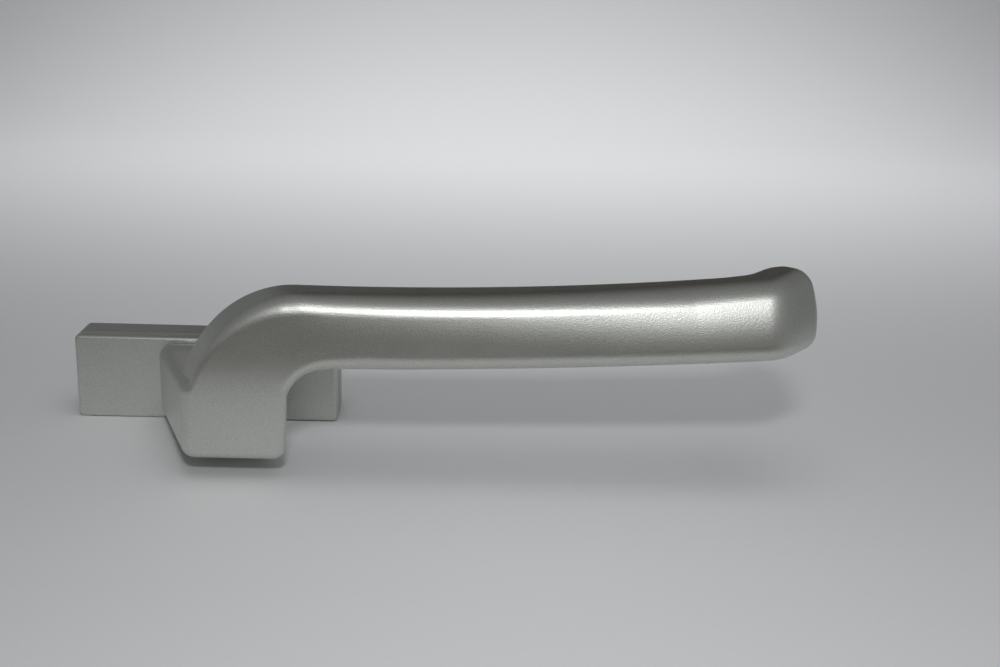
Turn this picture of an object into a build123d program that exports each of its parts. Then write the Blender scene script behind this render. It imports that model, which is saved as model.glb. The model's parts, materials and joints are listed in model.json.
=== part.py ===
from build123d import *
import math
import os

os.makedirs("parts", exist_ok=True)

# Window handle: a cranked, bead-blasted lever on a narrow two-layer backplate.
# The origin is the middle of the back face, on the axis that the lever turns about.
# +X runs along the backplate towards the grip, +Z is up, and the handle stands out along -Y.
# Depths are measured outwards from the back face, in millimetres.

# Backplate
plate_length = 70.0
plate_height = 23.0
plate_corner = 1.4
base_depth = 8.0
base_edge = 1.2
cover_gap = 0.5
cover_depth = 3.3
cover_wall = 0.9
cover_edge = 0.9

# Lever: foot, leaning neck, elbow, grip and hooked tip
foot_gap = 0.3
foot_width = 24.8
foot_height = 22.6
foot_corner = 4.2
foot_drop = 0.2
lever_front = 58.3
leg_width = 24.6
leg_shift = 16.6
leg_bottom = -4.7
leg_height = 17.2
leg_low_corner = 2.6
leg_top_corner = 10.0
leg_tilt = 11.0
leg_tilt_top = 17.5
leg_tilt_radius = 30.0
elbow_width = 29.6
elbow_rise = 35.1
inner_corner_radius = 9.0
grip_thickness = 14.0
grip_start_height = 18.7
grip_underside = 17.9
grip_underside_slope = 1.0
grip_underside_radius = 1870.0
grip_top_slope = -1.3
grip_top_radius = 720.0
tip_start_x = 132.5
tip_bend_radius = 17.0
tip_bend_angle = 35.0
tip_extension = 12.0
tip_end_round = 6.2
grip_edge_round = 3.5
leg_edge_round = 1.6

# Bearing and drive
hub_radius = 7.5
running_clearance = 0.05
seat_clearance = 0.02
bush_wall = 1.75
bush_flange = 0.4
bush_flange_radius = 10.3
bush_collar_top = 11.2
thrust_washer_thickness = 0.75
thrust_washer_inset = 0.1
drive_radius = 6.5
drive_flat = 5.5
ring_groove_radius = 5.75
ring_groove_width = 0.8
ring_outer_radius = 8.2
ring_gap = 2.5
hub_end_depth = 1.8
hub_end_collar = 0.5
hub_root = 1.0
spindle_width = 7.0
spindle_reach = 32.0
spindle_chamfer = 0.8
spindle_socket_end = 13.0
pin_radius = 1.0
pin_depth = 9.0
pin_end_gap = 0.2

# Detent
disc_radius = 10.0
disc_thickness = 2.5
notch_count = 4
notch_radius = 2.2
notch_depth = 0.7
plunger_gap = 0.1
plunger_width = 3.9
plunger_overlap = 0.4
plunger_length = 5.0
plunger_travel = 0.45
chamber_clearance = 0.3
chamber_front = 6.3
channel_end = 18.0
channel_clearance = 0.1
spring_radius = 1.3
spring_wire = 0.25
spring_turns = 4
spring_gap = 0.1
dished_washer_thickness = 0.3
dished_washer_rise = 0.25
dished_washer_clearance = 0.25

# Fastening
screw_spacing = 43.0
screw_radius = 2.5
screw_shank_radius = 2.25
screw_hole_radius = 2.75
screw_head_radius = 4.6
screw_head_sink = 0.1
screw_reach = 17.0
screw_tip_chamfer = 0.8
recess_width = 1.2
recess_length = 4.8
recess_depth = 1.5
back_plate_thickness = 1.5
back_plate_margin = 2.5
back_plate_fit = 0.1
back_hole_radius = 5.6
small_screw_inset = 5.0
small_screw_radius = 1.25
small_screw_head_radius = 2.3
small_screw_length = 5.5
small_screw_end_gap = 0.2
small_recess_margin = 0.7
small_recess_width = 0.6
small_recess_depth = 0.7
pocket_inset = 6.0
pocket_length = 6.0
pocket_height = 4.5
pocket_depth = 4.5
pocket_rise = 11.0
pocket_corner = 1.0
liner_fit = 0.05
liner_lift = 0.1
liner_pocket_depth = 1.3
liner_pocket_length = 16.0
liner_pocket_corner = 2.0
liner_wall = 1.2

# Depths and places that follow from the sizes above
cover_back = base_depth + cover_gap
cover_front = cover_back + cover_depth
foot_back = cover_front + foot_gap
foot_rise = -foot_drop
leg_left = leg_shift - leg_width / 2
leg_right = leg_shift + leg_width / 2
leg_middle_z = leg_bottom + leg_height / 2
neck_lean = leg_shift / (lever_front - foot_back)
grip_back = lever_front - grip_thickness
bush_inner_radius = hub_radius + running_clearance
bush_outer_radius = hub_radius + bush_wall
groove_front = hub_end_depth + hub_end_collar + ring_groove_width
disc_back = groove_front + running_clearance
disc_front = disc_back + disc_thickness
plunger_back = back_plate_thickness + channel_clearance
plunger_front = disc_front + plunger_overlap
hub_shoulder = disc_front + running_clearance
chamber_radius = disc_radius + chamber_clearance
plunger_nose = disc_radius + plunger_gap
plunger_tail = plunger_nose + plunger_length
screw_head_top = base_depth - screw_head_sink
screw_head_root = screw_head_top - (screw_head_radius - screw_shank_radius)
back_recess_length = plate_length - 2 * back_plate_margin
back_recess_height = plate_height - 2 * back_plate_margin
small_screw_spacing = plate_length - 2 * small_screw_inset
small_screw_root = small_screw_head_radius - small_screw_radius
small_recess_length = 2 * (small_screw_head_radius - small_recess_margin)
pocket_spacing = plate_length - 2 * pocket_inset


def outward(depth):
    """A sketch plane parallel to the back face, at a depth in front of it."""
    return Plane.XZ.offset(depth)


def finish(piece, name):
    """Label a finished piece and write it to its own file."""
    piece.label = name
    export_step(piece, f"parts/{name}.step")


def front_face(piece):
    """The flat face of a piece that lies furthest out."""
    return piece.faces().filter_by(Plane.XZ).sort_by(Axis.Y)[0]


# Base housing: the die-cast body that carries the bearing and the detent
with BuildPart(outward(screw_head_top)) as base_housing:
    with BuildSketch(outward(0)):
        RectangleRounded(plate_length, plate_height, plate_corner)
    extrude(amount=base_depth)
    fillet(front_face(base_housing).edges(), base_edge)
    with BuildSketch(outward(0)):
        RectangleRounded(back_recess_length, back_recess_height, plate_corner)
    extrude(amount=back_plate_thickness, mode=Mode.SUBTRACT)
    with BuildSketch(outward(back_plate_thickness)):
        Circle(chamber_radius)
    extrude(amount=chamber_front - back_plate_thickness, mode=Mode.SUBTRACT)
    with BuildSketch(outward(chamber_front)):
        Circle(bush_outer_radius + seat_clearance)
    extrude(amount=base_depth - chamber_front, mode=Mode.SUBTRACT)
    with BuildSketch(outward(back_plate_thickness)):
        Rectangle(2 * channel_end, plunger_width + 2 * channel_clearance)
    extrude(amount=plunger_front + channel_clearance - back_plate_thickness, mode=Mode.SUBTRACT)
    with GridLocations(screw_spacing, 1, 2, 1):
        CounterSinkHole(screw_hole_radius, screw_head_radius + running_clearance)
    with BuildSketch(outward(screw_head_top)):
        with GridLocations(screw_spacing, 1, 2, 1):
            Circle(screw_head_radius + running_clearance)
    extrude(amount=screw_head_sink, mode=Mode.SUBTRACT)
    with BuildSketch(outward(back_plate_thickness)):
        with GridLocations(small_screw_spacing, 1, 2, 1):
            Circle(small_screw_radius + seat_clearance)
    extrude(amount=small_screw_length - back_plate_thickness, mode=Mode.SUBTRACT)
    with BuildSketch(outward(back_plate_thickness)):
        with GridLocations(pocket_spacing, pocket_rise, 2, 2):
            RectangleRounded(pocket_length, pocket_height, pocket_corner)
    extrude(amount=pocket_depth, mode=Mode.SUBTRACT)
finish(base_housing.part, "base_housing")

# Back plate: the pressed steel sheet that closes the housing
with BuildPart(-outward(0)) as back_plate:
    with BuildSketch(outward(0)):
        RectangleRounded(
            back_recess_length - 2 * back_plate_fit,
            back_recess_height - 2 * back_plate_fit,
            plate_corner - back_plate_fit,
        )
        Circle(back_hole_radius, mode=Mode.SUBTRACT)
        with GridLocations(screw_spacing, 1, 2, 1):
            Circle(screw_hole_radius, mode=Mode.SUBTRACT)
    extrude(amount=back_plate_thickness)
    with GridLocations(small_screw_spacing, 1, 2, 1):
        CounterSinkHole(
            small_screw_radius + running_clearance,
            small_screw_head_radius + running_clearance,
        )
finish(back_plate.part, "back_plate")

# Small countersunk screws that hold the back plate
with BuildPart() as back_plate_screw:
    with BuildSketch(outward(0)):
        Circle(small_screw_head_radius)
    with BuildSketch(outward(small_screw_root)):
        Circle(small_screw_radius)
    loft()
    with BuildSketch(outward(small_screw_root)):
        Circle(small_screw_radius)
    extrude(amount=small_screw_length - small_screw_end_gap - small_screw_root)
    with BuildSketch(outward(0)):
        Rectangle(small_recess_length, small_recess_width)
        Rectangle(small_recess_width, small_recess_length)
    extrude(amount=small_recess_depth, mode=Mode.SUBTRACT)

# Countersunk fixing screws, hidden under the cover: a rolled thread behind a thinner plain shank
with BuildPart() as mounting_screw:
    with BuildSketch(outward(-screw_reach)):
        Circle(screw_radius)
    extrude(amount=screw_reach)
    chamfer(mounting_screw.edges().sort_by(Axis.Y)[-1], screw_tip_chamfer)
    with BuildSketch(outward(0)):
        Circle(screw_shank_radius)
    extrude(amount=screw_head_root)
    with BuildSketch(outward(screw_head_root)):
        Circle(screw_shank_radius)
    with BuildSketch(outward(screw_head_top)):
        Circle(screw_head_radius)
    loft()
    with BuildSketch(outward(screw_head_top)):
        Rectangle(recess_length, recess_width)
        Rectangle(recess_width, recess_length)
    extrude(amount=-recess_depth, mode=Mode.SUBTRACT)

for side, sign in (("left", -1), ("right", 1)):
    small_screw_place = Location((sign * small_screw_spacing / 2, 0, 0))
    finish(back_plate_screw.part.moved(small_screw_place), f"back_plate_screw_{side}")
    screw_place = Location((sign * screw_spacing / 2, 0, 0))
    finish(mounting_screw.part.moved(screw_place), f"mounting_screw_{side}")

# Bearing bush: the flanged plastic sleeve in which the hub turns
with BuildPart() as bearing_bush:
    with BuildSketch(outward(chamber_front)):
        Circle(bush_outer_radius)
    extrude(amount=bush_collar_top - chamber_front)
    with BuildSketch(outward(base_depth)):
        Circle(bush_flange_radius)
    extrude(amount=bush_flange)
    with BuildSketch(outward(chamber_front)):
        Circle(bush_inner_radius)
    extrude(amount=bush_collar_top - chamber_front, mode=Mode.SUBTRACT)
finish(bearing_bush.part, "bearing_bush")

# Thrust washer: the slip ring between the bush and the lever's foot
with BuildPart() as thrust_washer:
    with BuildSketch(outward(bush_collar_top)):
        Circle(bush_outer_radius - thrust_washer_inset)
        Circle(bush_inner_radius, mode=Mode.SUBTRACT)
    extrude(amount=thrust_washer_thickness)
finish(thrust_washer.part, "thrust_washer")

# Cover cap: the thin aluminium cover, turned aside to reach the screws
with BuildPart() as cover_cap:
    with BuildSketch(outward(cover_back)):
        RectangleRounded(plate_length, plate_height, plate_corner)
    extrude(amount=cover_depth)
    fillet(front_face(cover_cap).edges(), cover_edge)
    with BuildSketch(outward(cover_back)):
        RectangleRounded(
            plate_length - 2 * cover_wall,
            plate_height - 2 * cover_wall,
            plate_corner - cover_wall,
        )
    extrude(amount=cover_depth - cover_wall, mode=Mode.SUBTRACT)
    with BuildSketch(outward(cover_back)):
        Circle(bush_outer_radius + 2 * running_clearance)
    extrude(amount=cover_depth, mode=Mode.SUBTRACT)
finish(cover_cap.part, "cover_cap")

# Cover liner: the plastic carrier clipped inside the cap, which turns on the bush
with BuildPart() as cover_liner:
    with BuildSketch(outward(cover_back + liner_lift)):
        RectangleRounded(
            plate_length - 2 * (cover_wall + liner_fit),
            plate_height - 2 * (cover_wall + liner_fit),
            plate_corner - cover_wall - liner_fit,
        )
        Circle(bush_outer_radius + running_clearance, mode=Mode.SUBTRACT)
    extrude(amount=cover_depth - cover_wall - liner_lift)
    liner_pocket_height = plate_height - 2 * (cover_wall + liner_wall)
    with BuildSketch(outward(cover_back + liner_lift)):
        with GridLocations(screw_spacing, 1, 2, 1):
            RectangleRounded(liner_pocket_length, liner_pocket_height, liner_pocket_corner)
    extrude(amount=liner_pocket_depth, mode=Mode.SUBTRACT)
finish(cover_liner.part, "cover_liner")

# Elbow: a quarter of an ellipse from the upright leg to the top of the grip
elbow_end_turn = -math.degrees(math.atan(math.tan(math.radians(grip_top_slope)) * elbow_width / elbow_rise))
leg_cut = grip_underside + grip_start_height - elbow_rise
tip_reach = tip_start_x + tip_bend_radius + tip_extension
top_turn = math.degrees((tip_reach - leg_left) / grip_top_radius)
underside_turn = math.degrees((tip_reach - leg_left) / grip_underside_radius)

# Side view of the leg's front: upright at the elbow, then leaning back a little towards the foot
with BuildSketch(Plane.YZ) as side_view:
    with BuildLine():
        upright = Line((-lever_front, plate_length), (-lever_front, leg_tilt_top))
        tilting = JernArc(upright @ 1, (0, -1), leg_tilt_radius, leg_tilt)
        tilted = Line(tilting @ 1, tilting @ 1 + (tilting % 1) * leg_tilt_radius)
        Polyline(tilted @ 1, (plate_length, (tilted @ 1).Y), (plate_length, plate_length), upright @ 0)
    make_face()
tilt_way = math.radians(leg_tilt)
tilt_start = (0, (tilted @ 0).X, (tilted @ 0).Y)
leg_front = Plane(origin=tilt_start, x_dir=(1, 0, 0), z_dir=(0, -math.cos(tilt_way), -math.sin(tilt_way)))

# Leg: the leaning neck between the foot and the elbow
with BuildPart() as leg:
    with BuildSketch(outward(foot_back)):
        with Locations((0, foot_rise)):
            RectangleRounded(foot_width, foot_height, foot_corner)
    with BuildSketch(outward(lever_front)):
        with Locations((leg_shift, leg_middle_z)):
            RectangleRounded(leg_width, leg_height, leg_low_corner)
        with Locations((leg_shift, leg_bottom)):
            RectangleRounded(leg_width, 2 * leg_height, leg_top_corner, mode=Mode.INTERSECT)
    loft()
    split(bisect_by=leg_front, keep=Keep.BOTTOM)
    fillet(leg.faces().sort_by(Axis.Y)[0].edges(), leg_edge_round)


def runs_along(edge):
    """True for an edge along the bar, not a level one across it or one down the tip's end."""
    tolerance = 0.01
    span = edge.bounding_box().size
    down_tip = span.Z > grip_start_height / 2 and span.X < tolerance
    return span.Z > tolerance and not down_tip


# Lever: hub, foot, neck, elbow, grip and tip are one casting
with BuildPart() as lever:
    with BuildSketch(outward(lever_front)):
        with BuildLine():
            elbow = EllipticalCenterArc(
                (leg_left + elbow_width, leg_cut),
                elbow_width,
                elbow_rise,
                start_angle=180,
                arc_size=-90 - elbow_end_turn,
            )
            top = JernArc(elbow @ 1, elbow % 1, grip_top_radius, top_turn)
            inner_side = Line((leg_right, leg_cut), (leg_right, grip_underside - inner_corner_radius))
            inner_corner = JernArc(inner_side @ 1, (0, 1), inner_corner_radius, grip_underside_slope - 90)
            underside = JernArc(inner_corner @ 1, inner_corner % 1, grip_underside_radius, underside_turn)
            Line(top @ 1, underside @ 1)
            Line(elbow @ 0, inner_side @ 0)
        make_face()
    extrude(amount=lever_front * math.hypot(1, neck_lean), dir=(neck_lean, -1, 0), both=True)
    with BuildSketch(Plane.XY) as bar_from_above:
        with BuildLine():
            front_run = Line((-plate_length, -lever_front), (tip_start_x, -lever_front))
            front_bend = JernArc(front_run @ 1, (1, 0), tip_bend_radius + grip_thickness / 2, tip_bend_angle)
            front_tip = Line(front_bend @ 1, front_bend @ 1 + (front_bend % 1) * tip_extension)
            back_run = Line((-plate_length, -grip_back), (tip_start_x, -grip_back))
            back_bend = JernArc(back_run @ 1, (1, 0), tip_bend_radius - grip_thickness / 2, tip_bend_angle)
            back_tip = Line(back_bend @ 1, back_bend @ 1 + (back_bend % 1) * tip_extension)
            Line(front_tip @ 1, back_tip @ 1)
            Line(front_run @ 0, back_run @ 0)
        make_face()
        fillet(bar_from_above.vertices().sort_by(Axis.X)[-1], tip_end_round)
        fillet(bar_from_above.vertices().sort_by(Axis.Y)[-1], tip_end_round)
    extrude(amount=plate_length, both=True, mode=Mode.INTERSECT)
    extrude(side_view.sketch, amount=tip_reach + plate_length, both=True, mode=Mode.INTERSECT)
    fillet(lever.edges().filter_by(runs_along), grip_edge_round)
    add(leg.part)
    with BuildSketch(outward(hub_shoulder)):
        Circle(hub_radius)
    extrude(amount=foot_back + hub_root - hub_shoulder)
    with BuildSketch(outward(hub_end_depth)):
        Circle(drive_radius)
        Rectangle(2 * drive_flat, 2 * drive_radius, mode=Mode.INTERSECT)
    extrude(amount=hub_shoulder - hub_end_depth)
    with BuildSketch(outward(groove_front)):
        Circle(2 * drive_radius)
        Circle(ring_groove_radius, mode=Mode.SUBTRACT)
    extrude(amount=-ring_groove_width, mode=Mode.SUBTRACT)
    with BuildSketch(outward(hub_end_depth)):
        Rectangle(spindle_width + 2 * seat_clearance, spindle_width + 2 * seat_clearance)
    extrude(amount=spindle_socket_end - hub_end_depth, mode=Mode.SUBTRACT)
    with BuildSketch(Plane.XY):
        with Locations((0, -pin_depth)):
            Circle(pin_radius + seat_clearance)
    extrude(amount=hub_radius, both=True, mode=Mode.SUBTRACT)
finish(lever.part, "lever")

# Square spindle: drives the window's gear through the frame
with BuildPart() as square_spindle:
    with BuildSketch(outward(-spindle_reach)):
        Rectangle(spindle_width, spindle_width)
    extrude(amount=spindle_reach + spindle_socket_end - running_clearance)
    chamfer(square_spindle.faces().sort_by(Axis.Y)[-1].edges(), spindle_chamfer)
    with BuildSketch(Plane.XY):
        with Locations((0, -pin_depth)):
            Circle(pin_radius + seat_clearance)
    extrude(amount=spindle_width, both=True, mode=Mode.SUBTRACT)
finish(square_spindle.part, "square_spindle")

# Spindle pin: locks the spindle in the hub, and the bush keeps it in
with BuildPart() as spindle_pin:
    with BuildSketch(Plane.XY):
        with Locations((0, -pin_depth)):
            Circle(pin_radius)
    extrude(amount=hub_radius - pin_end_gap, both=True)
finish(spindle_pin.part, "spindle_pin")

# Detent disc: a hardened disc on the hub's flats, with a notch for each position
with BuildPart() as detent_disc:
    with BuildSketch(outward(disc_back)):
        Circle(disc_radius)
        with PolarLocations(disc_radius + notch_radius - notch_depth, notch_count):
            Circle(notch_radius, mode=Mode.SUBTRACT)
    extrude(amount=disc_thickness)
    with BuildSketch(outward(disc_back)):
        Circle(drive_radius + seat_clearance)
        Rectangle(2 * (drive_flat + seat_clearance), 4 * drive_radius, mode=Mode.INTERSECT)
    extrude(amount=disc_thickness, mode=Mode.SUBTRACT)
finish(detent_disc.part, "detent_disc")

# Retaining ring: the split ring that keeps the disc on the hub
with BuildPart() as retaining_ring:
    with BuildSketch(outward(groove_front - running_clearance)):
        Circle(ring_outer_radius)
        Circle(ring_groove_radius + seat_clearance, mode=Mode.SUBTRACT)
        with Locations((0, ring_outer_radius)):
            Rectangle(ring_gap, 2 * ring_outer_radius, mode=Mode.SUBTRACT)
    extrude(amount=2 * running_clearance - ring_groove_width)
finish(retaining_ring.part, "retaining_ring")

# Dished washer: takes up the play between the disc and the bush
washer_inner = hub_radius + 2 * running_clearance
washer_outer = plunger_nose - plunger_travel - dished_washer_clearance
washer_seat = disc_front + seat_clearance
with BuildPart() as dished_washer:
    with BuildSketch(Plane.XY):
        with BuildLine():
            Polyline(
                (washer_outer, -washer_seat),
                (washer_outer, -washer_seat - dished_washer_thickness),
                (washer_inner, -washer_seat - dished_washer_rise - dished_washer_thickness),
                (washer_inner, -washer_seat - dished_washer_rise),
                close=True,
            )
        make_face()
    revolve(axis=Axis.Y)
finish(dished_washer.part, "dished_washer")

# Detent plungers: blocks with a round nose that spring into the disc's notches
with BuildPart() as detent_plunger:
    with BuildSketch(outward(plunger_back)):
        with Locations((plunger_nose + plunger_width / 2, 0)):
            Circle(plunger_width / 2)
        with Locations(((plunger_nose + plunger_width / 2 + plunger_tail) / 2, 0)):
            Rectangle(plunger_tail - plunger_nose - plunger_width / 2, plunger_width)
    extrude(amount=plunger_front - plunger_back)

# Detent springs: one behind each plunger, seated on the end of its channel
spring_start = plunger_tail + spring_gap + spring_wire
spring_length = channel_end - plunger_tail - 2 * spring_gap - 2 * spring_wire
with BuildPart() as detent_spring:
    with BuildLine():
        coil = Helix(
            pitch=spring_length / spring_turns,
            height=spring_length,
            radius=spring_radius,
            center=(spring_start, -(plunger_back + plunger_front) / 2, 0),
            direction=(1, 0, 0),
        )
    with BuildSketch(Plane(origin=coil @ 0, z_dir=coil % 0)):
        Circle(spring_wire)
    sweep(is_frenet=True)

for side, turn in (("left", 180), ("right", 0)):
    about_hub = Location((0, 0, 0), (0, turn, 0))
    finish(detent_plunger.part.moved(about_hub), f"detent_plunger_{side}")
    finish(detent_spring.part.moved(about_hub), f"detent_spring_{side}")
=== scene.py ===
import json
import math

import bmesh
import bpy
import numpy as np
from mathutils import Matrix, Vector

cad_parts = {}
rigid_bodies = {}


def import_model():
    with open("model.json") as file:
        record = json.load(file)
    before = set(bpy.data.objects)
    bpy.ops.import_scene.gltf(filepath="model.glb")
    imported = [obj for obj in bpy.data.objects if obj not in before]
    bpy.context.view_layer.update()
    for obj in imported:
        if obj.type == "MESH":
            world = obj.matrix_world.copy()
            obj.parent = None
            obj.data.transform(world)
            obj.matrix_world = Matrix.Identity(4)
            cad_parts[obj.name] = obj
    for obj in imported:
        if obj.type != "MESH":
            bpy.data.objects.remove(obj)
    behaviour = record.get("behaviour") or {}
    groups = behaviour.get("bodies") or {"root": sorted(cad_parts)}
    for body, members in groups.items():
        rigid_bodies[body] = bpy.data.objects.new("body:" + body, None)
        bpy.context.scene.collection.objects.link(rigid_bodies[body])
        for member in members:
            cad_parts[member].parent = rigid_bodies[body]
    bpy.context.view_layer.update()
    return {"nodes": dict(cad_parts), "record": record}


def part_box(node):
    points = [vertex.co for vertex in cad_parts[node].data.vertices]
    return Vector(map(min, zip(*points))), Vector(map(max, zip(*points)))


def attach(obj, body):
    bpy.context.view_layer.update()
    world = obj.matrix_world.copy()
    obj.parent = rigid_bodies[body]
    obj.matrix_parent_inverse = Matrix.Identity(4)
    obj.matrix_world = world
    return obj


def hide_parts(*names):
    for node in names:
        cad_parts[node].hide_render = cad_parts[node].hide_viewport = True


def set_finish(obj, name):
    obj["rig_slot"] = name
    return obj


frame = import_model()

import openvdb
from mathutils import Vector

nodes = frame["nodes"]

# Sizes in this file are millimetres in the frame of the model: x along the backplate, z up,
# and depth outwards from the back face, which is -y.
MM = 0.001

# Foot and neck of the lever: sizes and centres are along x and z. The neck leans from the foot to
# the leg, whose front leans back a little below LEG_TILT_TOP
FOOT_BACK = 12.1
FOOT_SIZE = (24.8, 21.4)
FOOT_CENTRE = (0.0, -0.8)
FOOT_CORNER = 4.2
FRONT = 58.3
LEG_SIZE = (25.2, 20.3)
LEG_CENTRE = (16.9, 4.85)
LEG_CORNER = 3.2
LEG_TILT = 0.195
LEG_TILT_TOP = 18.5
LEG_TILT_BLEND = 3.0
LEG_TILT_END = (40.0, 60.0)
LEG_EDGE = 2.0
LEAN = LEG_CENTRE[0] / (FRONT - FOOT_BACK)
LEG_LEFT = LEG_CENTRE[0] - LEG_SIZE[0] / 2
LEG_RIGHT = LEG_CENTRE[0] + LEG_SIZE[0] / 2

# Elbow, grip and hooked tip: each long side of the grip is a shallow arc through its lowest point
ELBOW = (29.6, 35.1)
INNER_CORNER = 9.0
GRIP_THICKNESS = 14.0
GRIP_TOP = (45.0, 36.35, 930.0)
UNDERSIDE = (5.3, 17.6, 1870.0)
# where the front and the back of the tip bend backwards, the radius of each bend and its angle
TIP_FRONT_BEND = (140.3, 12.0, math.radians(45.0))
TIP_BACK_BEND = (135.5, 4.0, math.radians(42.0))
# a point of the flat end of the tip, in x and depth, and how far that end leans
TIP_END = (153.9, 47.08, math.radians(35.0))
TIP_END_ROUND = 3.6
TIP_REAR_CORNER = 8.0

# The front of the grip is crowned: at places along the bar, the curvature per mm with which it
# falls back towards the top, and how far below the top that starts
CROWN = (
    (28.0, 40.0, 55.0, 78.0, 101.0, 124.0, 135.0),
    (0.0, 0.018, 0.0256, 0.0316, 0.0348, 0.0444, 0.0463),
)
CROWN_REACH = ((55.0, 78.0, 101.0, 124.0), (10.0, 11.3, 13.0, 14.0))

# Down the leg the bar sinks into the neck between these heights, by this much
BAR_SINKS = (3.0, 10.0)
BAR_SINKS_BY = 0.6

# Rounding of the long edges at places along the bar, crisp on the leg and broader on the grip
SHOULDER = ((10.0, 30.0, 55.0, 101.0, 124.0, 135.0), (1.2, 4.4, 4.7, 4.5, 4.3, 3.7))
LOW_FRONT_EDGE = ((14.0, 46.0), (2.0, 4.7))
BACK_EDGE = ((135.0, 142.0), (3.2, 2.2))


def ellipse(a, b, size_a, size_b):
    """About the distance from an ellipse round the origin, less than zero inside."""
    reach = np.hypot(a / size_a, b / size_b) + 1e-9
    return (reach - 1.0) * reach / (np.hypot(a / size_a ** 2, b / size_b ** 2) + 1e-9)


def rounded(a, b, size_a, size_b):
    """The inside of two surfaces, the edge between them rounded as a quarter of an ellipse."""
    corner = ellipse(a + size_a, b + size_b, size_a, size_b)
    return np.where((a > -size_a) & (b > -size_b), corner, np.maximum(a, b))


def arc_height(u, lowest_x, lowest_z, radius):
    """Height of a shallow arc that sags to its lowest point."""
    return lowest_z + radius - np.sqrt(radius ** 2 - (u - lowest_x) ** 2)


def ramp(value, start, end):
    """0 before start, 1 after end, and a smooth rise between them."""
    t = np.clip((value - start) / (end - start), 0.0, 1.0)
    return t * t * (3.0 - 2.0 * t)


def front_depth(z):
    """Depth of the front face: upright on the grip, and leaning back a little down the leg."""
    below = (LEG_TILT_TOP - z) / LEG_TILT_BLEND
    return FRONT - LEG_TILT * LEG_TILT_BLEND * np.logaddexp(0.0, below)


def bent_back(x, depth, level, start, radius, angle):
    """Distance in front of a surface that lies at one depth and bends backwards at the tip."""
    tip_x = x - start
    tip_depth = depth - (level - radius)
    straight = tip_x * math.sin(angle) + tip_depth * math.cos(angle)
    bent = np.where(np.arctan2(tip_x, tip_depth) < angle, np.hypot(tip_x, tip_depth), straight)
    return np.where(tip_x < 0.0, tip_depth, bent) - radius


def bar(x, depth, z):
    """Signed distance to the bar: upper leg, elbow, grip and hooked tip."""
    u = x + LEAN * (FRONT - depth)
    # outer side: round the elbow and along the top of the grip
    elbow_x = LEG_LEFT + ELBOW[0]
    elbow_z = arc_height(elbow_x, *GRIP_TOP) - ELBOW[1]
    elbow = ellipse(u - elbow_x, z - elbow_z, *ELBOW)
    top = z - arc_height(u, *GRIP_TOP)
    outer = np.where(u < elbow_x, np.where(z > elbow_z, elbow, LEG_LEFT - u), top)
    # inner side: along the underside of the grip, round the inner corner and down the leg
    corner_x = LEG_RIGHT + INNER_CORNER
    corner_z = arc_height(corner_x, *UNDERSIDE) - INNER_CORNER
    corner = INNER_CORNER - np.hypot(u - corner_x, z - corner_z)
    underside = arc_height(u, *UNDERSIDE) - z
    inner = np.where(u < corner_x, np.where(z > corner_z, corner, u - LEG_RIGHT), underside)
    # front, back and end of the tip
    tilt = (FRONT - front_depth(z)) * (1.0 - ramp(u, *LEG_TILT_END))
    crown = np.interp(u, *CROWN) * np.clip(np.interp(u, *CROWN_REACH) + outer, 0.0, None) ** 2 / 2
    front = bent_back(x, depth, FRONT, *TIP_FRONT_BEND) + tilt + crown
    back = -bent_back(x, depth, FRONT - GRIP_THICKNESS, *TIP_BACK_BEND)
    end_x, end_depth, end_angle = TIP_END
    end = (x - end_x) * math.cos(end_angle) - (depth - end_depth) * math.sin(end_angle)
    back = rounded(back, end, TIP_REAR_CORNER, TIP_REAR_CORNER)
    # the four long edges, and the edge round the end of the tip
    shoulder = np.interp(u, *SHOULDER)
    low_front = np.interp(u, *LOW_FRONT_EDGE)
    back_edge = np.interp(u, *BACK_EDGE)
    body = np.maximum(
        np.maximum(
            rounded(outer, front, shoulder, shoulder),
            rounded(inner, front, low_front, low_front),
        ),
        np.maximum(
            rounded(outer, back, back_edge, back_edge),
            rounded(inner, back, back_edge, back_edge),
        ),
    )
    return rounded(body, end, TIP_END_ROUND, TIP_END_ROUND)


def neck(x, depth, z):
    """Signed distance to the neck: from the foot, leaning out to the leg's front face."""
    t = np.clip((depth - FOOT_BACK) / (FRONT - FOOT_BACK), 0.0, 1.0)
    corner = FOOT_CORNER + t * (LEG_CORNER - FOOT_CORNER)
    away = []
    sides = zip((x, z), FOOT_CENTRE, LEG_CENTRE, FOOT_SIZE, LEG_SIZE)
    for place, foot, leg, foot_size, leg_size in sides:
        half = (foot_size + t * (leg_size - foot_size)) / 2
        away.append(np.abs(place - foot - t * (leg - foot)) - half)
    wall = rounded(away[0], away[1], corner, corner)
    body = rounded(wall, depth - front_depth(z), LEG_EDGE, LEG_EDGE)
    return np.maximum(body, FOOT_BACK - depth)


def casting(x, depth, z):
    """Signed distance to the whole cast lever: the bar sinks into the neck and ends there."""
    sunk = BAR_SINKS_BY * (1.0 - ramp(z, *BAR_SINKS))
    return np.minimum(np.maximum(bar(x, depth, z) + sunk, BAR_SINKS[0] - z), neck(x, depth, z))


# The mesher: its cell, and the value outside its grid. Each corner of the mesh then slides along
# the slope of the field onto the true surface, a share of the way each time. The slope is measured
# a hair to either side, and its square counts as no less than LEAST_SLOPE
STEP = 0.5
OUTSIDE = 3.0
SLIDES = 4
SLIDE_SHARE = 0.9
PROBE = 0.02
LEAST_SLOPE = 0.25


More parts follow.
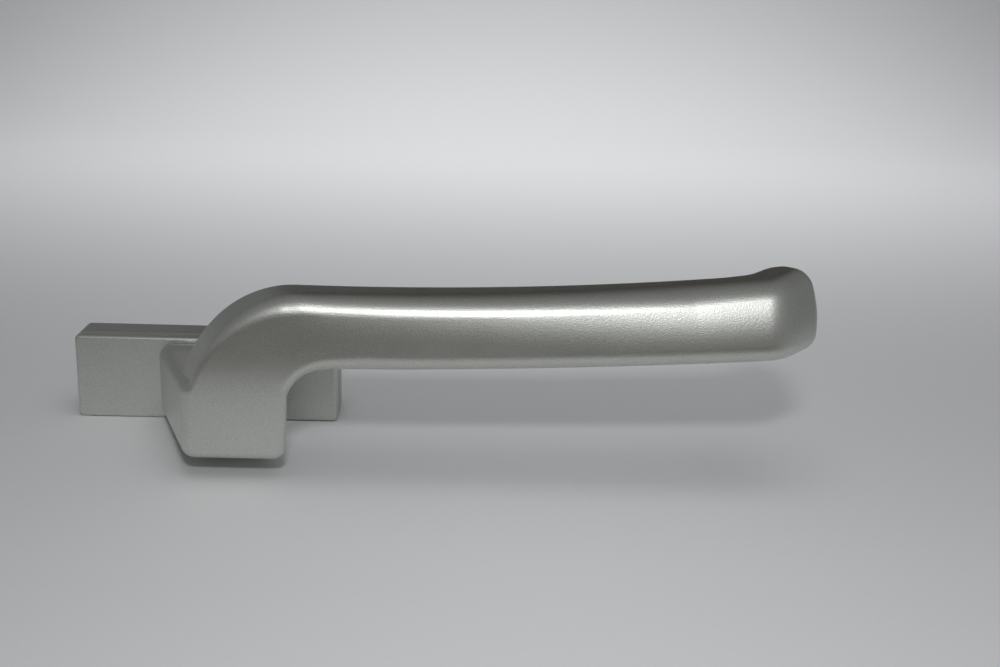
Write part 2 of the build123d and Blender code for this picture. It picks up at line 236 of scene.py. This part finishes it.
def surface_of(field, low, high, step):
    """Corners and faces of the surface where a field of x, depth and z is zero."""
    axes = [np.arange(a, b, step) for a, b in zip(low, high)]
    values = field(*np.meshgrid(*axes, indexing="ij")).astype(np.float32)
    grid = openvdb.FloatGrid(OUTSIDE)
    grid.copyFromArray(values)
    points, quads = grid.convertToQuads(isovalue=0.0)
    points = points.astype(float) * step + np.array([a[0] for a in axes])
    for _ in range(SLIDES):
        slope = np.stack([
            (field(*(points + PROBE * way).T) - field(*(points - PROBE * way).T)) / (2 * PROBE)
            for way in np.eye(3)
        ], axis=1)
        steepness = np.maximum((slope ** 2).sum(axis=1), LEAST_SLOPE)
        slide = np.clip(SLIDE_SHARE * field(*points.T) / steepness, -step, step)
        points -= slide[:, None] * slope
    return points, quads


def new_piece(name, points, faces):
    """A smooth mesh object from points of x, depth and z in millimetres."""
    mesh = bpy.data.meshes.new(name)
    corners = np.stack([points[:, 0], -points[:, 1], points[:, 2]], axis=1) * MM
    mesh.from_pydata(corners.tolist(), [], [list(map(int, f)) for f in faces])
    work = bmesh.new()
    work.from_mesh(mesh)
    bmesh.ops.recalc_face_normals(work, faces=work.faces)
    work.to_mesh(mesh)
    work.free()
    mesh.shade_smooth()
    piece = bpy.data.objects.new(name, mesh)
    bpy.context.scene.collection.objects.link(piece)
    return piece


def part_of(node, name, depth, keep_outer):
    """A copy of a CAD node's mesh, cut off at a depth and closed there."""
    work = bmesh.new()
    work.from_mesh(nodes[node].data)
    everything = work.verts[:] + work.edges[:] + work.faces[:]
    cut = bmesh.ops.bisect_plane(
        work, geom=everything, plane_co=(0, -depth * MM, 0), plane_no=(0, -1, 0),
        clear_inner=keep_outer, clear_outer=not keep_outer,
    )
    rim = [e for e in cut["geom_cut"] if isinstance(e, bmesh.types.BMEdge)]
    bmesh.ops.triangle_fill(work, use_beauty=True, edges=rim)
    mesh = bpy.data.meshes.new(name)
    work.to_mesh(mesh)
    work.free()
    piece = bpy.data.objects.new(name, mesh)
    bpy.context.scene.collection.objects.link(piece)
    return piece


def fitted(piece, body, slot):
    """The piece, riding on its body and holding its slot of the record."""
    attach(piece, body)
    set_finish(piece, slot)
    return piece


# Lever: the casting is shaped above, within these bounds of x, depth and z. Its machined hub is
# kept from the CAD solid, cut off a hair behind the foot
CASTING_LOW = (-14.0, 10.6, -13.5)
CASTING_HIGH = (156.0, 60.5, 45.5)
HUB_CUT = FOOT_BACK - 0.01
lever_casting = new_piece("lever_casting", *surface_of(casting, CASTING_LOW, CASTING_HIGH, STEP))
fitted(lever_casting, "lever", "anodised_aluminium")
lever_hub = part_of("lever", "lever_hub", HUB_CUT, False)
fitted(lever_hub, "lever", "anodised_aluminium")
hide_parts("lever")

# Mounting screws: the plain shank and head are the CAD solid's, and a rolled M5 thread is added
# from the back face to THREAD_END. Each flank of its ridge takes THREAD_FLANK of the pitch, and
# the ridge, which would rise to THREAD_CREST times its height, is flat on top
THREAD_RADIUS = 2.5
THREAD_ROOT = 2.07
THREAD_PITCH = 0.8
THREAD_FLANK = 1 / 2.3
THREAD_CREST = 1.15
THREAD_END = -17.0
THREAD_CHAMFER = 0.8
THREAD_TURN_POINTS = 40
THREAD_STEPS = 8


def thread(name, screw_x):
    """The threaded end of a screw: a cylinder whose radius follows a helix."""
    depths = np.arange(0.0, THREAD_END - 1e-6, -THREAD_PITCH / THREAD_STEPS)
    angles = np.arange(THREAD_TURN_POINTS) * 2 * math.pi / THREAD_TURN_POINTS
    depth, angle = np.meshgrid(depths, angles, indexing="ij")
    phase = (depth / THREAD_PITCH + angle / (2 * math.pi)) % 1.0
    ridge = np.clip(THREAD_CREST - np.abs(phase - 0.5) / THREAD_FLANK, 0.0, 1.0)
    runs_in = ramp(-depth, 0.0, THREAD_PITCH)
    radius = THREAD_ROOT + (THREAD_RADIUS - THREAD_ROOT) * ridge * runs_in
    radius = np.minimum(radius, THREAD_RADIUS - THREAD_CHAMFER + depth - THREAD_END)
    rings = np.stack([screw_x + radius * np.cos(angle), depth, radius * np.sin(angle)], axis=-1)
    points = rings.reshape(-1, 3)
    faces = []
    n = THREAD_TURN_POINTS
    for ring in range(len(depths) - 1):
        for i in range(n):
            j = (i + 1) % n
            faces.append((ring * n + i, ring * n + j, (ring + 1) * n + j, (ring + 1) * n + i))
    faces.append(tuple(range(n)))
    faces.append(tuple((len(depths) - 1) * n + i for i in range(n)))
    return new_piece(name, points, faces)


for side in ("left", "right"):
    screw = f"mounting_screw_{side}"
    low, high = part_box(screw)
    screw_thread = thread(f"{screw}_thread", (low.x + high.x) / 2 / MM)
    fitted(screw_thread, "base", "zinc_plated_steel")
    screw_head = part_of(screw, f"{screw}_head", 0.0, True)
    fitted(screw_head, "base", "zinc_plated_steel")
    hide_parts(screw)


# Materials
def linear(code):
    """A colour from its sRGB hex code."""
    parts = [int(code[i:i + 2], 16) / 255 for i in (1, 3, 5)]
    return [p / 12.92 if p <= 0.04045 else ((p + 0.055) / 1.055) ** 2.4 for p in parts] + [1.0]


def add(tree, kind, settings=None, links=None, **values):
    """Adds a node, sets its properties and inputs, and links outputs of other nodes to its inputs."""
    node = tree.nodes.new("ShaderNode" + kind)
    for key, value in values.items():
        setattr(node, key, value)
    for key, value in (settings or {}).items():
        node.inputs[key].default_value = value
    for key, output in (links or {}).items():
        tree.links.new(output, node.inputs[key])
    return node


def new_material(name):
    """An empty material, its node tree, and the place on the object that its patterns follow."""
    material = bpy.data.materials.new(name)
    material.use_nodes = True
    material.node_tree.nodes.clear()
    place = add(material.node_tree, "TexCoord").outputs["Object"]
    return material, material.node_tree, place


def bead_blasted_anodised_aluminium():
    """Die-cast aluminium, bead-blasted and silver anodised: a soft broad sheen with fine glints."""
    material, tree, place = new_material("bead_blasted_anodised_aluminium")
    # the real pits are about 0.1 mm across, and are drawn at 0.27 mm so that they show as glints
    pits = add(tree, "TexNoise", {"Scale": 1 / (0.27 * MM), "Detail": 0.0}, {"Vector": place})
    # the blast and the anodising are never quite even, over a centimetre or so
    cloud = add(tree, "TexNoise", {"Scale": 1 / (14 * MM), "Detail": 2.0}, {"Vector": place})
    tint = add(
        tree, "Mix", {6: linear("#C5C7C2"), 7: linear("#E3E5E0")}, {0: pits.outputs["Fac"]},
        data_type="RGBA",
    )
    matt = add(tree, "MapRange", {"To Min": 0.41, "To Max": 0.46}, {"Value": cloud.outputs["Fac"]})
    relief = add(tree, "Bump", {"Strength": 0.7, "Distance": 0.045 * MM}, {"Height": pits.outputs["Fac"]})
    shader = add(
        tree, "BsdfPrincipled", {"Metallic": 1.0},
        {
            "Base Color": tint.outputs[2], "Roughness": matt.outputs["Result"],
            "Normal": relief.outputs["Normal"],
        },
    )
    add(tree, "OutputMaterial", {}, {"Surface": shader.outputs["BSDF"]})
    return material


def silver_lacquered_die_cast_zinc():
    """Zinc cast in a die, under baked silver lacquer: flakes glitter faintly below a thin clear film."""
    material, tree, place = new_material("silver_lacquered_die_cast_zinc")
    # the lacquer's flakes are about 0.05 mm across, and are drawn at 0.3 mm so that they show
    flakes = add(tree, "TexVoronoi", {"Scale": 1 / (0.3 * MM)}, {"Vector": place})
    # the film levels out in waves of nearly 2 mm
    peel = add(tree, "TexNoise", {"Scale": 1 / (1.8 * MM), "Detail": 1.0}, {"Vector": place})
    tint = add(
        tree, "Mix", {6: linear("#A9AAA7"), 7: linear("#C6C7C4")}, {0: flakes.outputs["Distance"]},
        data_type="RGBA",
    )
    matt = add(tree, "MapRange", {"To Min": 0.46, "To Max": 0.56}, {"Value": flakes.outputs["Distance"]})
    relief = add(
        tree, "Bump", {"Strength": 0.3, "Distance": 0.02 * MM}, {"Height": peel.outputs["Fac"]},
    )
    shader = add(
        tree, "BsdfPrincipled", {"Metallic": 0.9, "Coat Weight": 0.2, "Coat Roughness": 0.35},
        {
            "Base Color": tint.outputs[2], "Roughness": matt.outputs["Result"],
            "Normal": relief.outputs["Normal"],
        },
    )
    add(tree, "OutputMaterial", {}, {"Surface": shader.outputs["BSDF"]})
    return material


def zinc_plated_steel():
    """Cold-formed steel, zinc plated and passivated: a bright, cloudy grey from bluish to yellowish."""
    material, tree, place = new_material("zinc_plated_steel")
    # the passivation clouds over every few millimetres
    cloud = add(
        tree, "TexNoise", {"Scale": 1 / (4 * MM), "Detail": 3.0, "Distortion": 0.8}, {"Vector": place},
    )
    # the crystals of the zinc are about 0.02 mm across, and are drawn at 0.35 mm so that they show
    spangle = add(tree, "TexNoise", {"Scale": 1 / (0.35 * MM), "Detail": 2.0}, {"Vector": place})
    tint = add(
        tree, "Mix", {6: linear("#B9BEC4"), 7: linear("#C9C6B6")}, {0: cloud.outputs["Fac"]},
        data_type="RGBA",
    )
    matt = add(tree, "MapRange", {"To Min": 0.24, "To Max": 0.44}, {"Value": spangle.outputs["Fac"]})
    relief = add(tree, "Bump", {"Strength": 0.2, "Distance": 0.01 * MM}, {"Height": spangle.outputs["Fac"]})
    shader = add(
        tree, "BsdfPrincipled", {"Metallic": 1.0},
        {
            "Base Color": tint.outputs[2], "Roughness": matt.outputs["Result"],
            "Normal": relief.outputs["Normal"],
        },
    )
    add(tree, "OutputMaterial", {}, {"Surface": shader.outputs["BSDF"]})
    return material


def hardened_ground_steel():
    """Steel hardened and then ground: dark bright metal with fine straight grinding lines."""
    material, tree, place = new_material("hardened_ground_steel")
    # the grinding lines run along x, about 0.02 mm apart, and are drawn 0.15 mm apart to show
    stretch = add(tree, "Mapping", {"Scale": (0.02, 1.0, 1.0)}, {"Vector": place})
    lines = add(
        tree, "TexNoise", {"Scale": 1 / (0.15 * MM), "Detail": 2.0},
        {"Vector": stretch.outputs["Vector"]},
    )
    tint = add(
        tree, "Mix", {6: linear("#868889"), 7: linear("#A3A4A3")}, {0: lines.outputs["Fac"]},
        data_type="RGBA",
    )
    matt = add(tree, "MapRange", {"To Min": 0.2, "To Max": 0.36}, {"Value": lines.outputs["Fac"]})
    relief = add(tree, "Bump", {"Strength": 0.25, "Distance": 0.01 * MM}, {"Height": lines.outputs["Fac"]})
    shader = add(
        tree, "BsdfPrincipled", {"Metallic": 1.0},
        {
            "Base Color": tint.outputs[2], "Roughness": matt.outputs["Result"],
            "Normal": relief.outputs["Normal"],
        },
    )
    add(tree, "OutputMaterial", {}, {"Surface": shader.outputs["BSDF"]})
    return material


def oiled_spring_steel():
    """Drawn or rolled spring steel with a thin oiled oxide skin: dark grey, smooth and a little mottled."""
    material, tree, place = new_material("oiled_spring_steel")
    # the oxide is mottled over about a millimetre
    skin = add(tree, "TexNoise", {"Scale": 1 / (1.2 * MM), "Detail": 4.0}, {"Vector": place})
    tint = add(
        tree, "Mix", {6: linear("#5D6065"), 7: linear("#7B7A77")}, {0: skin.outputs["Fac"]},
        data_type="RGBA",
    )
    matt = add(tree, "MapRange", {"To Min": 0.26, "To Max": 0.42}, {"Value": skin.outputs["Fac"]})
    shader = add(
        tree, "BsdfPrincipled", {"Metallic": 1.0},
        {"Base Color": tint.outputs[2], "Roughness": matt.outputs["Result"]},
    )
    add(tree, "OutputMaterial", {}, {"Surface": shader.outputs["BSDF"]})
    return material


def moulded_acetal():
    """Natural acetal from a polished mould: milky white with a waxy shine."""
    material, tree, place = new_material("moulded_acetal")
    # the melt leaves faint flow marks some 6 mm across
    flow = add(
        tree, "TexNoise", {"Scale": 1 / (6 * MM), "Detail": 1.0, "Distortion": 1.0}, {"Vector": place},
    )
    tint = add(
        tree, "Mix", {6: linear("#DCDBD3"), 7: linear("#E6E5DE")}, {0: flow.outputs["Fac"]},
        data_type="RGBA",
    )
    matt = add(tree, "MapRange", {"To Min": 0.3, "To Max": 0.4}, {"Value": flow.outputs["Fac"]})
    shader = add(
        tree, "BsdfPrincipled", {"IOR": 1.48},
        {"Base Color": tint.outputs[2], "Roughness": matt.outputs["Result"]},
    )
    add(tree, "OutputMaterial", {}, {"Surface": shader.outputs["BSDF"]})
    return material


def moulded_glass_filled_nylon():
    """Nylon moulded with short glass fibres: dull dark grey, with pale flecks of fibre at the skin."""
    material, tree, place = new_material("moulded_glass_filled_nylon")
    # fibres 0.3 mm long lie mostly along the cover, as the melt flowed
    stretch = add(tree, "Mapping", {"Scale": (0.25, 1.0, 1.0)}, {"Vector": place})
    fibres = add(
        tree, "TexNoise", {"Scale": 1 / (0.3 * MM), "Detail": 3.0},
        {"Vector": stretch.outputs["Vector"]},
    )
    fleck = add(tree, "MapRange", {"From Min": 0.55, "From Max": 0.75}, {"Value": fibres.outputs["Fac"]})
    tint = add(
        tree, "Mix", {6: linear("#2B2B2D"), 7: linear("#4A4A4C")}, {0: fleck.outputs["Result"]},
        data_type="RGBA",
    )
    relief = add(tree, "Bump", {"Strength": 0.3, "Distance": 0.02 * MM}, {"Height": fibres.outputs["Fac"]})
    shader = add(
        tree, "BsdfPrincipled", {"Roughness": 0.52, "IOR": 1.53},
        {"Base Color": tint.outputs[2], "Normal": relief.outputs["Normal"]},
    )
    add(tree, "OutputMaterial", {}, {"Surface": shader.outputs["BSDF"]})
    return material


def matt_paper():
    """Uncoated pale grey paper: the same soft tone everywhere, with a barely visible tooth."""
    material, tree, place = new_material("matt_paper")
    # the tooth of the paper is about 0.2 mm, and is drawn at 1.5 mm
    tooth = add(tree, "TexNoise", {"Scale": 1 / (1.5 * MM), "Detail": 3.0}, {"Vector": place})
    tint = add(
        tree, "Mix", {6: linear("#D6D7D9"), 7: linear("#D9DADB")}, {0: tooth.outputs["Fac"]},
        data_type="RGBA",
    )
    shader = add(tree, "BsdfPrincipled", {"Roughness": 0.9}, {"Base Color": tint.outputs[2]})
    add(tree, "OutputMaterial", {}, {"Surface": shader.outputs["BSDF"]})
    return material


def painted_dark_reflection():
    """A painted dark reflection: a brownish black card, seen only in the metal's reflections, that takes
    almost all the light that reaches it.
    """
    material, tree, place = new_material("painted_dark_reflection")
    # the painted reflection's tone varies a little over about 2 mm
    card_tone = add(tree, "TexNoise", {"Scale": 1 / (2 * MM), "Detail": 3.0}, {"Vector": place})
    tint = add(
        tree, "Mix", {6: linear("#433A30"), 7: linear("#4C4237")}, {0: card_tone.outputs["Fac"]},
        data_type="RGBA",
    )
    shader = add(tree, "BsdfPrincipled", {"Roughness": 0.95}, {"Base Color": tint.outputs[2]})
    add(tree, "OutputMaterial", {}, {"Surface": shader.outputs["BSDF"]})
    return material


# The finish of each slot of the record, on the pieces added here and on the CAD nodes
FINISHES = {
    "anodised_aluminium": bead_blasted_anodised_aluminium(),
    "lacquered_zinc": silver_lacquered_die_cast_zinc(),
    "zinc_plated_steel": zinc_plated_steel(),
    "hardened_steel": hardened_ground_steel(),
    "spring_steel": oiled_spring_steel(),
    "acetal": moulded_acetal(),
    "glass_filled_nylon": moulded_glass_filled_nylon(),
}


def dress(piece, material):
    """Gives a piece its one material."""
    piece.data.materials.clear()
    piece.data.materials.append(material)


for part in frame["record"]["subparts"]:
    dress(nodes[part["node"]], FINISHES[part["material_slot"]])
for piece in bpy.data.objects:
    if "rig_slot" in piece:
        dress(piece, FINISHES[piece["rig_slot"]])

# Camera: 345 mm out from the back face and 116 mm above the hub, looking down at the lever
CAMERA_PLACE = (73.83, -344.59, 115.9)
CAMERA_TURN = (73.105, -1.587, -0.375)
SENSOR_WIDTH = 36.0
FOCAL_LENGTH = 46.8
CLIP = (0.01, 20.0)
camera = bpy.data.objects.new("camera", bpy.data.cameras.new("camera"))
camera.location = [place * MM for place in CAMERA_PLACE]
camera.rotation_euler = [math.radians(turn) for turn in CAMERA_TURN]
camera.data.sensor_width = SENSOR_WIDTH
camera.data.lens = FOCAL_LENGTH
camera.data.clip_start, camera.data.clip_end = CLIP
bpy.context.scene.collection.objects.link(camera)
bpy.context.scene.camera = camera

# Stage: a pale sheet under the lever that curves up into the backdrop, and two dark cards
FLOOR_Z = -11.55
SWEEP_START = -500.0
SWEEP_RADIUS = 500.0
SWEEP_STEPS = 24
SHEET_X = (-1500.0, 1600.0)
SHEET_FRONT = 900.0
SHEET_TOP = 1600.0


def paper_sweep():
    """The sheet: flat under the lever, a quarter turn behind it, and upright above that."""
    run = [(SHEET_FRONT, 0.0)]
    for i in range(SWEEP_STEPS + 1):
        turn = math.radians(90.0 * i / SWEEP_STEPS)
        back, up = SWEEP_RADIUS * math.sin(turn), SWEEP_RADIUS * (1 - math.cos(turn))
        run.append((SWEEP_START - back, up))
    run.append((SWEEP_START - SWEEP_RADIUS, SHEET_TOP))
    points = np.array([(x, depth, FLOOR_Z + height) for x in SHEET_X for depth, height in run])
    n = len(run)
    return new_piece("paper_sweep", points, [(i, i + 1, n + i + 1, n + i) for i in range(n - 1)])


def dark_card(name, ends, near, far):
    """A card between two edges, each at a depth and height, which only reflections show."""
    corners = [(x, *edge) for edge, row in ((near, ends), (far, ends[::-1])) for x in row]
    card = new_piece(name, np.array(corners), [(0, 1, 2, 3)])
    card.visible_camera = False
    card.visible_diffuse = False
    card.visible_shadow = False
    return card


# The front card lies before the grip and paints a dark reflection into its lower part, and the back card
# stands behind the grip and paints a dark reflection into the band above the line of light
sweep = paper_sweep()
front_card = dark_card("front_card", ends=(-700.0, 230.0), near=(101.0, -10.9), far=(1200.0, -10.9))
back_card = dark_card("back_card", ends=(-50.0, 230.0), near=(-200.0, 68.0), far=(-200.0, 700.0))
dress(sweep, matt_paper())
# both cards carry the painted dark reflection, which only the metal shows
dark_reflection_paint = painted_dark_reflection()
dress(front_card, dark_reflection_paint)
dress(back_card, dark_reflection_paint)


LAMP_SPREAD = 100.0


def lamp(name, place, aim, size, power, mirrored):
    """A rectangular lamp of so many watts, at a place of x, depth and z, that points at another."""
    data = bpy.data.lights.new(name, "AREA")
    data.shape = "RECTANGLE"
    data.size, data.size_y = (s * MM for s in size)
    data.energy = power
    data.spread = math.radians(LAMP_SPREAD)
    light = bpy.data.objects.new(name, data)
    at, to = (Vector((x, -depth, z)) * MM for x, depth, z in (place, aim))
    light.location = at
    light.rotation_euler = (to - at).to_track_quat("-Z", "Y").to_euler()
    light.visible_glossy = mirrored
    bpy.context.scene.collection.objects.link(light)


# The small lamp above the camera draws the line of light along the grip and the shadow behind it.
# The two broad ones only fill the sheet, and the metal doesn't mirror them.
lamp(
    "lamp_over_camera", place=(82, 390, 252), aim=(90, 90, -11), size=(45, 30),
    power=0.18, mirrored=True,
)
lamp(
    "fill_above", place=(122, 190, 480), aim=(122, 85, 0), size=(380, 380),
    power=0.235, mirrored=False,
)
lamp(
    "backdrop_fill", place=(95, -320, 560), aim=(95, -540, 0), size=(700, 300),
    power=1.45, mirrored=False,
)

# The room gives a little even light from all sides
ROOM_COLOUR = "#EFF0F0"
ROOM_STRENGTH = 0.22
world = bpy.data.worlds.new("dim_room")
world.use_nodes = True
room = world.node_tree.nodes["Background"]
room.inputs["Color"].default_value = linear(ROOM_COLOUR)
room.inputs["Strength"].default_value = ROOM_STRENGTH
bpy.context.scene.world = world
bpy.context.scene.view_settings.view_transform = "Standard"
